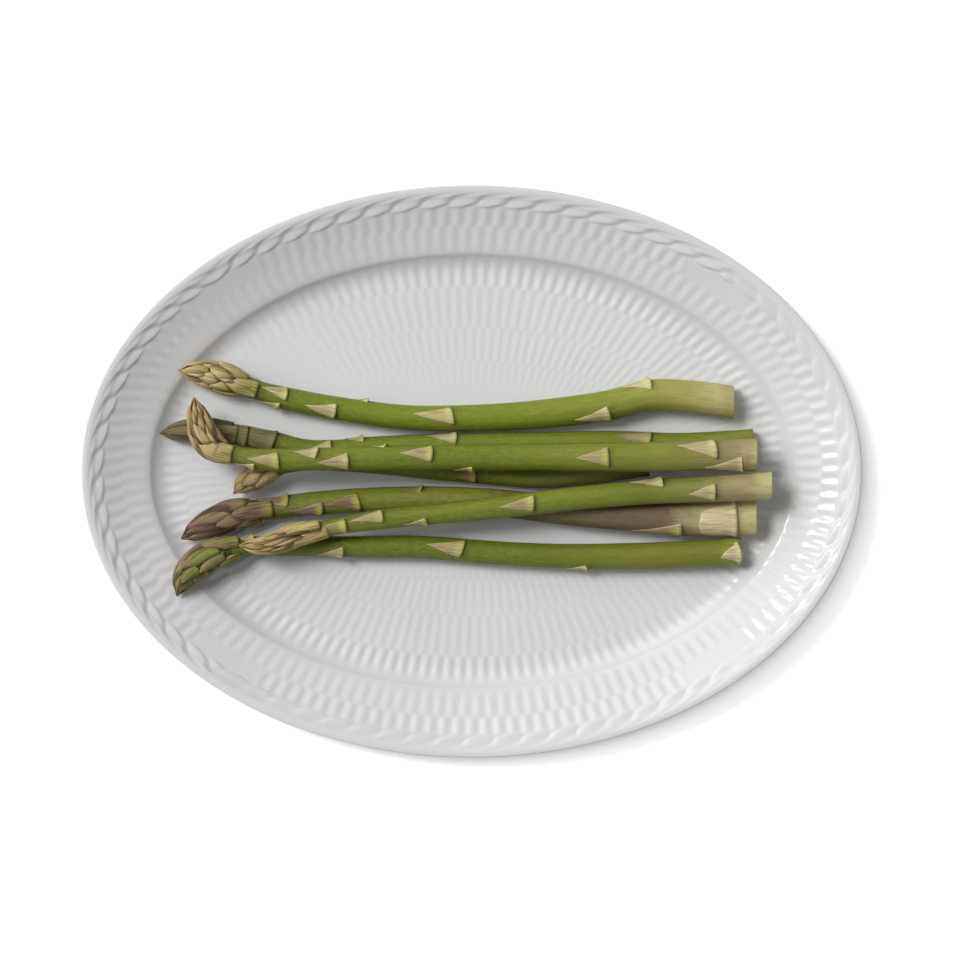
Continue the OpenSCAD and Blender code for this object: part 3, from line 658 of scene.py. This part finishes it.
# Scales of the buds in sight: distance and angle of the base, distance and angle of the point, half their
# width as an angle, share of the point's colour, lift of the point, and how far the base stands out
SUNK = -0.35
BUDS = {
    1: [(14.4, 31, 2.5, 10, 40, 0.5, 0.2, SUNK), (10.6, 132, 0.8, 128, 42, 0.8, 0.2, SUNK),
        (11.5, 71, 0, 92, 42, 0, 0.2, SUNK), (16, 162, 5, 165, 40, 0.6, 0.2, SUNK),
        (13.5, 100, 3.5, 108, 16, 0.9, 0.5, -0.2), (17.8, 100, 7.9, 114, 36, 0.55, 0.4, SUNK),
        (19.5, 62, 9, 48, 16, 0.9, 0.6, -0.1), (21.4, 84, 11.5, 62, 44, 0.1, 0.4, 0),
        (25.2, 40, 14.5, 28, 44, 0, 0.4, 0), (22.8, 120, 12.5, 140, 36, 0.1, 0.4, 0),
        (24, 92, 16, 96, 16, 0.8, 0.6, 0), (25, 165, 14, 165, 36, 0.3, 0.2, -0.6),
        (29.8, 92, 18.5, 104, 46, 0, 0.3, 0.9)],
    2: [(14, 27, 1, 30, 60, 0.3, 0.1, SUNK), (14, 150, 1, 140, 56, 0.3, 0.1, SUNK),
        (17, 98, 0, 84, 44, 0.2, 0.1, SUNK), (27, 22, 12, 45, 60, 0.1, 0.1, 0.3),
        (28, 150, 14, 150, 58, 0.1, 0.1, 0), (29, 86, 13, 90, 74, 0, 0.1, 0.3)],
    3: [(13, 32, 0, 45, 36, 0.7, 0.2, SUNK), (17, 130, 0.5, 150, 34, 0.4, 0.2, SUNK),
        (12.5, 80, 0.5, 95, 26, 0, 0.2, SUNK), (15, 60, 3, 70, 14, 0, 0.5, -0.2),
        (16, 104, 5, 112, 24, 0.7, 0.3, SUNK), (17, 70, 6, 80, 28, 0.9, 0.3, SUNK),
        (23.5, 42, 5, 40, 34, 0.5, 0.4, -0.2), (19.5, 112, 8, 124, 16, 0.9, 0.6, -0.2),
        (20.5, 88, 9, 112, 32, 0.3, 0.5, -0.2), (22.5, 66, 11, 64, 14, 0.1, 0.6, -0.1),
        (25, 12, 12, 28, 42, 0.6, 0.3, -0.2), (24, 150, 12, 150, 46, 0.3, 0.3, -0.2),
        (27.8, 98, 16, 132, 80, 0, 0.1, 0.5)],
    4: [(8.5, 105, 0, 80, 48, 0.2, 0.2, SUNK), (11.5, 55, 1.5, 25, 46, 0.8, 0.3, SUNK),
        (12, 158, 0.5, 130, 46, 0.8, 0.3, SUNK), (15, 92, 5.5, 95, 44, 0.4, 0.4, -0.2),
        (19.5, 40, 9, 42, 48, 0.2, 0.4, 0), (19.5, 140, 9, 138, 48, 0.3, 0.4, 0)],
    5: [(20, 165, 0, 140, 50, 0.7, 0.1, SUNK), (16.3, 108, 2.5, 70, 38, 0.5, 0.2, SUNK),
        (27, 50, 4, 15, 44, 0.45, 0.2, 0.3), (21, 88, 4, 42, 42, 0.25, 0.2, -0.2),
        (25.5, 124, 14, 112, 42, 0, 0.3, 0), (31, 160, 21, 150, 48, 0.1, 0.3, 0.3),
        (35.8, 96, 20.5, 90, 48, 0.2, 0.2, 0.7)],
    6: [(14, 80, 0, 95, 40, 0.2, 0.2, SUNK), (18, 40, 2, 30, 40, 0.4, 0.2, SUNK),
        (18, 146, 2, 150, 40, 0.5, 0.2, SUNK), (20, 110, 7, 118, 14, 0.9, 0.7, -0.2),
        (22, 75, 6, 78, 14, 0.9, 0.8, -0.2), (24, 95, 9, 86, 34, 0.3, 0.6, -0.2),
        (24, 60, 10, 52, 30, 0.6, 0.5, -0.2), (26, 126, 11, 128, 30, 0.6, 0.5, -0.2),
        (27, 110, 13, 104, 16, 0.1, 0.9, -0.1), (29, 82, 17, 74, 14, 0.7, 0.9, 0),
        (30.5, 60, 14, 44, 46, 0.1, 0.4, 0.6), (33, 128, 16, 132, 46, 0.4, 0.3, 0.4)],
    7: [(8.5, 140, 1.5, 110, 42, 0.1, 0.3, SUNK), (10, 45, 1.5, 30, 38, 0.4, 0.3, SUNK),
        (8, 82, 1, 60, 38, 0.2, 0.3, SUNK), (16, 165, 8, 150, 40, 0, 0.5, 0),
        (13.5, 113, 5, 95, 36, 0, 0.6, 0), (21.5, 36, 10.5, 18, 40, 0.6, 0.5, -0.2),
        (23.5, 84, 9, 60, 36, 0.05, 0.7, 0.3), (24.5, 117, 13, 123, 29, 0.2, 0.7, 0.4),
        (31, 168, 21, 150, 40, 0, 0.6, 0.3), (30.6, 50, 18.5, 36, 44, 0.4, 0.5, 0.8)]}
# A height that no spear passes, just under the top of the solids
TOP_CLEARANCE = 0.01
SPEAR_TOP = cad_box[1][2] / MM - TOP_CLEARANCE
# Stalks, with the thinner run under the bud
STALK_SIDES, STALK_RINGS = 40, 150
UNDER_BUD, UNDER_BUD_GIRTH = 7, 0.74
RIBS, RIB_HEIGHT = 11, 0.05
UNEVENNESS = 0.12
# Skin of a stalk at a leaf, and at a scale of the bud that stands out by more than this: a swelling, a hollow
# under the leaf, and a painted shade just behind its base
RAISED = 0.4
SWELL_HEIGHT, SWELL_RUN = 0.3, 2
HOLLOW_DEPTH = 0.12
# Painted shade behind a leaf's base: how much it darkens the skin, and the run over which it fades
PAINTED_SHADE_SHARE, PAINTED_SHADE_RUN = 0.42, 0.9
# Cut end: distances of the last rings from it and their sizes, its frayed edge, and the rings of its face
LAST_RINGS = (0.5, 0.2, 0)
LAST_SIZES = (1, 0.998, 0.985)
FRAY, FRAY_RUN = 0.2, 0.6
SQUARED_RUN = 9
CUT_RINGS = (0.82, 0.55, 0.28, 0)
CUT_HOLLOW, CUT_UNEVENNESS = 0.35, 0.18
# Leaves on a stalk
LEAF_POWER, SHEATH_POWER = 1.1, 0.3
LEAF_SLANT, LEAF_BOW, LEAF_SWING = 0.9, 0.5, 14
LEAF_GAP, POINT_GAP, LEAF_ROOT = 0.02, 0.12, 0.1
POINT_THICKNESS, BASE_THICKNESS = 0.08, 0.3
COLLAR_HEIGHT, COLLAR_RUN, COLLAR_SIDES = 0.6, 1.6, 0.25
# Core and scales of a bud
CORE_SIDES, CORE_RINGS = 24, 30
CORE_GIRTH, SCALE_GIRTH, SCALE_STACK = 0.84, 0.8, 0.55
SCALE_EDGE, SCALE_BULGE, SCALE_ROOT = 0.2, 0.34, 0.12
# Painted shade on a scale beside the edge of another scale lying on it: how dark, and how far it reaches
OVERLAP_SHADE, OVERLAP_REACH = 0.6, 0.5
# Scales below a bud, out of sight, with the first and last row and the number of rows
HIDDEN_ROWS = (0.36, 0.8, 4)
HIDDEN_ANGLES = (200, 250, 295, 340)
HIDDEN_TURN = 22
HIDDEN_LENGTH = 0.36
HIDDEN_SCALE = (40, 0.3, 0.2, SUNK)
# Added to a spear's number to seed its random draws
LEAF_SEED, FRAY_SEED, CUT_SEED = 20, 40, 60


def smooth_route(points, steps=20):
    """Catmull-Rom curve through a route's points, as in the solids."""
    p = np.array(points, float)
    u = np.arange(steps)[:, None] / steps
    runs = []
    for k in range(len(p) - 1):
        a, b, c, d = p[max(k - 1, 0)], p[k], p[k + 1], p[min(k + 2, len(p) - 1)]
        bend = (2 * a - 5 * b + 4 * c - d) * u ** 2 + (3 * b - a - 3 * c + d) * u ** 3
        runs.append((2 * b + (c - a) * u + bend) / 2)
    return np.concatenate([*runs, p[-1:]])


def evened(values, reach):
    """Moving average that keeps the ends."""
    padded = np.concatenate([np.full(reach, values[0]), values, np.full(reach, values[-1])])
    return np.convolve(padded, np.ones(2 * reach + 1) / (2 * reach + 1), "valid")


def angle_between(turns, angle):
    """Angle between two turns round a spear, up to half a turn."""
    return np.abs((turns - angle + 180) % 360 - 180)


def gathered(at, run, power):
    """Share of its full girth that a bud has near its point."""
    return np.clip((at + 0.4) / run, 0.08, 1) ** power


class Spear:
    """Middle line, directions and girth of one spear, by the distance from its point."""

    STATIONS = 260

    def __init__(self, number):
        self.number = number
        self.tip = SIZES[number][0]
        plan = smooth_route(ROUTES[number])
        run = np.concatenate([[0], np.cumsum(np.linalg.norm(np.diff(plan, axis=0), axis=1))])
        self.length = run[-1]
        self.at = np.linspace(0, self.length, self.STATIONS)
        x, y = (np.interp(self.at, run, plan[:, k]) for k in (0, 1))
        self.middle = np.stack([x, y, self.heights(x, y)], axis=-1)
        self.heading = unit(np.gradient(self.middle, axis=0))
        self.across = unit(np.cross((0, 0, 1), self.heading))
        self.lift = np.cross(self.heading, self.across)
        self.girth = evened(self.girth_law(), reach=3)

    def heights(self, x, y):
        """Heights of the middle line, halfway through the spear's own solids."""
        trees = [solid_tree(f"spear_{self.number}_{kind}") for kind in ("stalk", "tip")]
        found = []
        for place in zip(self.at, x, y):
            for tree in trees:
                upper, lower = (surface_height(tree, *place[1:], start) for start in (1, -1))
                if upper is not None and lower is not None:
                    found.append((place[0], (upper + lower) / 2))
                    break
        places, levels = np.array(found).T
        return evened(np.interp(self.at, places, levels), reach=5)

    def girth_law(self):
        """Radius along the spear: the bud, the neck, and the stalk that thickens to the cut end."""
        tip, tip_d, neck_d, stalk_d, butt_d = SIZES[self.number]
        behind = tip + NECK_RUN
        head = np.interp(self.at, (*(tip * place for place in TIP_PLACES), tip, behind),
                         (*(tip_d * radius for radius in TIP_RADII), neck_d / 2, stalk_d / 2))
        rest = np.clip((self.at - behind) / (self.length - behind), 0, 1) ** GIRTH_POWER
        return np.where(self.at < behind, head, (stalk_d + (butt_d - stalk_d) * rest) / 2)

    def radius(self, at):
        return np.interp(at, self.at, self.girth)

    def point(self, at, angle, radius):
        """Points round the middle line; angle 0 is to the left of the way to the cut end, 90 is up."""
        turn = np.radians(angle)[..., None]

        def along(table):
            return np.stack([np.interp(at, self.at, table[:, k]) for k in range(3)], axis=-1)

        beyond = np.minimum(at, 0)[..., None] + np.maximum(at - self.length, 0)[..., None]
        out = np.cos(turn) * along(self.across) + np.sin(turn) * along(self.lift)
        points = along(self.middle) + beyond * along(self.heading) + np.asarray(radius)[..., None] * out
        points[..., 2] = np.minimum(points[..., 2], SPEAR_TOP)
        return points

    def squared(self, points, share):
        """Shifts along the spear that bring its end, cut square to the platter's length, into one plane."""
        heading = self.heading[-1]
        offsets = points - self.middle[-1]
        shift = offsets @ heading - offsets[..., 0] / heading[0]
        return (share * shift)[..., None] * heading


def leaf_marks(number, places, turns):
    """What leaves do to the skin of a stalk: how far it swells, and the painted shade just behind each leaf's
    base.
    """
    raised = [(base, angle, base - point, half, 0)
              for base, angle, point, _, half, _, _, step in BUDS[number] if step > RAISED]
    swelling = np.zeros_like(places)
    shade = np.ones_like(places)
    for base, angle, length, half, _ in LEAVES[number] + raised:
        apart = angle_between(turns, angle)
        swell = np.exp(-((places - base + SWELL_RUN / 2) / SWELL_RUN) ** 2)
        under = np.exp(-((places - base + length / 2) / (length * 0.55)) ** 2)
        swelling += np.exp(-(apart / (half * 1.1)) ** 2) * (SWELL_HEIGHT * swell - HOLLOW_DEPTH * under)
        # Painted shade: the skin just behind a leaf's base is darkened where the leaf's shadow falls
        behind = (places > base - 0.3) * np.exp(-np.maximum(places - base - 0.2, 0) / PAINTED_SHADE_RUN)
        shade *= 1 - PAINTED_SHADE_SHARE * behind * (1 - smoothstep(apart, half * 0.8, half * 1.1))
    return swelling, shade


def stalk(spear):
    """Stalk with faint ribs, a swelling and a painted shade at each leaf, and a cut end."""
    number, neck, length = spear.number, spear.tip, spear.length
    at = np.concatenate([np.linspace(neck - UNDER_BUD, length - LAST_RINGS[0], STALK_RINGS),
                         length - np.array(LAST_RINGS[1:])])
    places, turns = np.meshgrid(at, np.linspace(-90, 270, STALK_SIDES + 1)[:-1], indexing="ij")
    full = smoothstep(places, neck - UNDER_BUD, neck - 1)
    swelling, shade = leaf_marks(number, places, turns)
    radius = spear.radius(places) * (UNDER_BUD_GIRTH + (1 - UNDER_BUD_GIRTH) * full) + swelling
    radius += RIB_HEIGHT * np.cos(np.radians(turns) * RIBS + places * 0.01)
    radius += UNEVENNESS * ripple(places * 0.11, np.sin(np.radians(turns)), number)
    radius[-len(LAST_SIZES):] *= np.array(LAST_SIZES)[:, None]
    fray = FRAY * ripple(turns * 0.15, 0, number + FRAY_SEED) * (places > length - FRAY_RUN)
    points = spear.point(places + fray, turns, radius)
    points = points + spear.squared(points, smoothstep(places, length - SQUARED_RUN, length))
    rows, count = places.shape
    share = (places - neck) / (length - neck)
    rim = places == length
    surface = np.stack([turns / 360 * 0.25, places * 0.01], axis=-1).reshape(-1, 2)
    parts = [(points.reshape(-1, 3), share.ravel(), rim.ravel(), shade.ravel(), surface)]
    for size in CUT_RINGS:
        uneven = CUT_UNEVENNESS * ripple(turns[-1] * 0.03, size * 9, number + CUT_SEED)
        face = spear.point(length - CUT_HOLLOW * (1 - size) + uneven, turns[-1], size * radius[-1])
        face = face + spear.squared(face, np.ones(count))
        if size == 0:
            face = face.mean(axis=0, keepdims=True)
        ones = np.ones(len(face))
        parts.append((face, ones, size * ones, ones, np.full((len(face), 2), 0.01 * length)))
    points, share, rim, shade, surface = (np.concatenate(column) for column in zip(*parts))
    faces = grid_faces(rows, count, closed=True)
    skin_faces = len(faces)
    faces += grid_faces(len(CUT_RINGS), count, (rows - 1) * count, closed=True)
    centre = (rows + len(CUT_RINGS) - 1) * count
    faces += fan(centre - count, centre, count)
    index = np.arange(len(faces)) >= skin_faces
    materials = (stalk_skin(number, STALK_COLOURS[number]), cut_face(number, *CUT_COLOURS[number]))
    values = {"share": share, "rim": rim, "shade": shade}
    return make_mesh(f"stalk_{number}", points, faces, values, surface, materials, index)


class Shells:
    """Thin pointed leaves gathered into one mesh, with where each point lies on its leaf."""

    ROWS = 15
    COLUMNS = 13
    KEYS = ("share", "side", "tint", "pale", "shade")

    def __init__(self):
        self.points, self.faces, self.values, self.surface = [], [], [], []
        self.count = 0

    def add(self, points, faces, values, at, turns):
        """A part of the mesh, with values in the order of KEYS and its places along and round the spear."""
        self.faces += [tuple(self.count + k for k in face) for face in faces]
        self.points.append(points)
        self.count += len(points)
        self.values.append([np.broadcast_to(value, len(points)) for value in values])
        self.surface.append(np.stack([turns / 60, at * 0.1], axis=-1))

    def grid(self):
        """Share of the length from base to point, and place between the edges from -1 to 1."""
        return np.meshgrid(np.linspace(0, 1, self.ROWS), np.linspace(-1, 1, self.COLUMNS), indexing="ij")

    def shell(self, spear, at, turns, inner, outer, tint, pale, shade):
        """Closed shell between an inner and an outer surface over one grid."""
        share, side = self.grid()
        rows, columns = share.shape
        points = np.concatenate([spear.point(at, turns, radius).reshape(-1, 3) for radius in (outer, inner)])
        size = rows * columns
        border = [*range(columns), *range(2 * columns - 1, size, columns),
                  *range(size - 2, size - columns - 1, -1), *range(size - 2 * columns, 0, -columns)]
        sides = [(a, b, b + size, a + size) for a, b in zip(border, border[1:] + border[:1])]
        faces = turned(grid_faces(rows, columns)) + grid_faces(rows, columns, size) + sides
        grids = np.reshape([share, np.abs(side), shade, at, turns], (5, -1))
        share, side, shade, at, turns = np.tile(grids, 2)
        self.add(points, faces, (share, side, tint, pale, shade), at, turns)

    def leaf(self, spear, base, angle, length, half, pale, draws):
        """Scale leaf on a stalk: broadest at its base, with a raised collar, and drawn out to a point."""
        share, side = self.grid()
        power = SHEATH_POWER if half > SHEATH_ANGLE else LEAF_POWER
        waves = 1 + 0.14 * ripple(share * 2.6, np.sign(side), int(base * 10))
        outline = (1 - share) ** power * waves + 0.012
        slant = draws.uniform(-LEAF_SLANT, LEAF_SLANT)
        at = base - length * share + (slant * side - LEAF_BOW * side ** 2) * (1 - share)
        turns = angle + side * half * outline + draws.uniform(-LEAF_SWING, LEAF_SWING) * share ** 2
        edge = 1 - 0.92 * np.abs(side) ** 3
        collar = COLLAR_HEIGHT * np.exp(-(share * length / COLLAR_RUN) ** 2)
        inner = spear.radius(at) + LEAF_GAP + POINT_GAP * share ** 2
        thickness = POINT_THICKNESS + BASE_THICKNESS * (1 - share) + collar
        outer = inner + thickness * edge + COLLAR_SIDES * collar
        tint = 1 if pale < 0 else draws.uniform(0, 0.4)
        self.shell(spear, at, turns, inner - LEAF_ROOT, outer, tint, max(pale, 0), np.ones_like(share))

    @staticmethod
    def outline(share):
        """Half the width of a bud's scale: broadest a third of the way to its point."""
        return (0.86 + 1.3 * share) * (1 - share) ** 0.8 + 0.015

    def scale(self, spear, placed, later, draws):
        """Scale of a bud: a bulging pointed leaf over the roots of those nearer the bud's point. Skin next to
        the edge of a scale lying on it carries a painted shade, and so do the corners of its base."""
        base, angle, point, point_angle, half, tint, lift, step = placed
        share, side = self.grid()
        at = base - (base - point) * share
        turns = angle + (point_angle - angle) * share + side * half * self.outline(share)
        girth = spear.radius(at)
        gather = gathered(at, 4, 0.7)
        swell = np.sin(math.pi * (0.16 + 0.7 * share))
        inner = gather * (girth * SCALE_GIRTH + SCALE_STACK * base / spear.tip + lift * share ** 1.6)
        inner = inner + step * (1 - share) ** 4
        outer = inner + gather * (SCALE_EDGE + (SCALE_BULGE + 0.13 * girth) * swell * (1 - side ** 2))
        # Painted shade at the corners of the base, and beside the edges of later scales lying on this one
        shade = 1 - 0.3 * smoothstep(np.abs(side), 0.6, 1) * (1 - share) ** 2
        for low, low_angle, high, high_angle, width, *_ in later:
            along = (low - at) / (low - high)
            inside = np.clip(along, 0, 1)
            apart = angle_between(turns, low_angle + (high_angle - low_angle) * inside)
            beside = np.maximum(np.radians(apart - width * self.outline(inside)) * girth, 0)
            beyond = np.abs(along - inside) * (low - high)
            shade = shade * (1 - OVERLAP_SHADE * np.exp(-np.hypot(beside, beyond) / OVERLAP_REACH))
        tint = tint + draws.uniform(-0.1, 0.1)
        self.shell(spear, at, turns, inner - SCALE_ROOT, outer, tint, 0, shade)

    def piece(self, name, material):
        points, surface = np.concatenate(self.points), np.concatenate(self.surface)
        values = dict(zip(self.KEYS, np.concatenate(self.values, axis=1)))
        return make_mesh(name, points, self.faces, values, surface, (material,))


def bud_core(spear, shells):
    """Core of a bud, closed at both ends, darkened with painted shade so that the gaps between its scales
    look shaded.
    """
    sides, rings = CORE_SIDES, CORE_RINGS
    at = np.linspace(0.3, spear.tip + 1, rings)
    places, turns = np.meshgrid(at, np.linspace(-90, 270, sides + 1)[:-1], indexing="ij")
    radius = spear.radius(places) * CORE_GIRTH * gathered(places, 5, 0.8)
    ends = np.array([0, spear.tip + 1.2])
    points = [spear.point(places, turns, radius).reshape(-1, 3), spear.point(ends, np.zeros(2), np.zeros(2))]
    point = rings * sides
    faces = grid_faces(rings, sides, closed=True) + turned(fan(0, point, sides))
    faces += fan(point - sides, point + 1, sides)
    # Shade 0.45 is a painted shade that darkens the core
    shells.add(np.concatenate(points), faces, (0.4, 0, 0, 0, 0.45), np.append(places, (0, 0)),
               np.append(turns, (0, 0)))


def bud(spear):
    """Closed bud: a core under overlapping scales, those in sight placed one by one and a few more below."""
    number, tip = spear.number, spear.tip
    shells = Shells()
    bud_core(spear, shells)
    draws = np.random.default_rng(number)
    for order, placed in enumerate(BUDS[number]):
        shells.scale(spear, placed, BUDS[number][order + 1:], draws)
    for row, base in enumerate(np.linspace(*HIDDEN_ROWS) * tip):
        for angle in HIDDEN_ANGLES:
            turn = angle + HIDDEN_TURN * (row % 2)
            shells.scale(spear, (base, turn, base - HIDDEN_LENGTH * tip, turn, *HIDDEN_SCALE), [], draws)
    return shells.piece(f"bud_{number}", leaf_skin(f"bud_scales_{number}", BUD_STREAK, *BUD_COLOURS[number]))


def scale_leaves(spear):
    number = spear.number
    shells = Shells()
    draws = np.random.default_rng(number + LEAF_SEED)
    for leaf in LEAVES[number]:
        shells.leaf(spear, *leaf, draws)
    return shells.piece(f"leaves_{number}", leaf_skin(f"leaf_{number}", LEAF_STREAK, *LEAF_COLOURS[number]))


def spears():
    for number in ROUTES:
        spear = Spear(number)
        for make, node in ((stalk, "stalk"), (bud, "tip"), (scale_leaves, "scales")):
            piece = make(spear)
            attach(piece, f"spear_{number}")
            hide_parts(f"spear_{number}_{node}")


# Stage, light and camera

# Light on a level surface: from all round, and from far lights given by their share, elevation and spread
AMBIENT = 0.21
LIGHTS = {"window": (0.42, 57, 18), "wall": (0.29, 33, 70), "lamp": (0.045, 43, 7)}
LIGHT_AZIMUTH = 147
# Turns from that azimuth of two more lamps, which show in the glaze but light nothing
GLINT_TURNS = (7, 14)
TABLE_HALF = 3000
TABLE_LEVEL, TABLE_SHOWN = 0.8, 0.92
# Glow of the table as the camera sees it, by the distance from the platter's middle as a share of its length;
# it is weaker near the platter, which paints shade there
TABLE_GLOW = [(0.5, 0.2), (0.503, 0.285), (0.508, 0.37), (0.516, 0.55), (0.527, 0.66), (0.55, 0.72),
              (0.65, 0.8)]
VIEW_HEIGHT = 1500
VIEW_CENTRE = (2.9, -2.95)
VIEW_WIDTH = 349.6


def sky():
    """Even light from all round, in front of a white backdrop."""
    world = bpy.data.worlds.new("studio")
    bpy.context.scene.world = world
    nodes = Nodes(world)
    nodes.tree.nodes.clear()
    light = nodes.node("Background", {"Color": grey(1), "Strength": AMBIENT})
    backdrop = nodes.node("Background", {"Color": grey(1), "Strength": 1})
    nodes.show("OutputWorld", light, backdrop)


def table():
    """White table, which the camera sees brighter than it is. Beside the platter its glow is weaker, so the
    shade there is partly the platter's real shadow and partly painted shade.
    """
    material = bpy.data.materials.new("table_white")
    nodes = Nodes(material)
    nodes.tree.nodes.clear()
    plain = nodes.node("BsdfDiffuse", {"Color": grey(TABLE_LEVEL)})
    white = nodes.node("BsdfDiffuse", {"Color": grey(TABLE_SHOWN)})
    place = nodes.node("TexCoord").outputs["Object"]
    oval = nodes.node("Mapping", {"Vector": place, "Scale": (0.5 / DISH_HIGH.x, 0.5 / DISH_HIGH.y, 0)})
    outwards = nodes.node("VectorMath", {0: oval.outputs["Vector"]}, operation="LENGTH").outputs["Value"]
    glow = nodes.node("Emission", {"Strength": nodes.levels(outwards, *TABLE_GLOW)})
    shown = nodes.node("AddShader", {0: white.outputs[0], 1: glow.outputs[0]})
    nodes.show("OutputMaterial", plain, shown)
    corners = [(TABLE_HALF * x, TABLE_HALF * y, 0) for x, y in ((-1, -1), (1, -1), (1, 1), (-1, 1))]
    floor = make_mesh("table", corners, [(0, 1, 2, 3)], materials=(material,))


def sun(name, level, elevation, spread, turn=0):
    """A far light that gives a level surface this share of full light. The window shows in no reflection, and
    a light that is turned shows only there."""
    lamp = bpy.data.lights.new(name, "SUN")
    lamp.energy = level * math.pi / math.sin(math.radians(elevation))
    lamp.angle = math.radians(spread)
    light = bpy.data.objects.new(name, lamp)
    light.rotation_euler = (0, math.radians(90 - elevation), math.radians(LIGHT_AZIMUTH + turn))
    light.visible_glossy = name != "window"
    light.visible_diffuse = turn == 0
    bpy.context.scene.collection.objects.link(light)


def camera():
    view = bpy.data.cameras.new("camera")
    view.lens = view.sensor_width * VIEW_HEIGHT / VIEW_WIDTH
    eye = bpy.data.objects.new("camera", view)
    eye.location = Vector((*VIEW_CENTRE, VIEW_HEIGHT + DISH_HEIGHT)) * MM
    bpy.context.scene.collection.objects.link(eye)
    bpy.context.scene.camera = eye


platter()
spears()
sky()
table()
for name, (level, elevation, spread) in LIGHTS.items():
    sun(name, level, elevation, spread)
for turn in GLINT_TURNS:
    sun(f"glint_{turn}", *LIGHTS["lamp"], turn)
camera()
bpy.context.scene.view_settings.view_transform = "Standard"
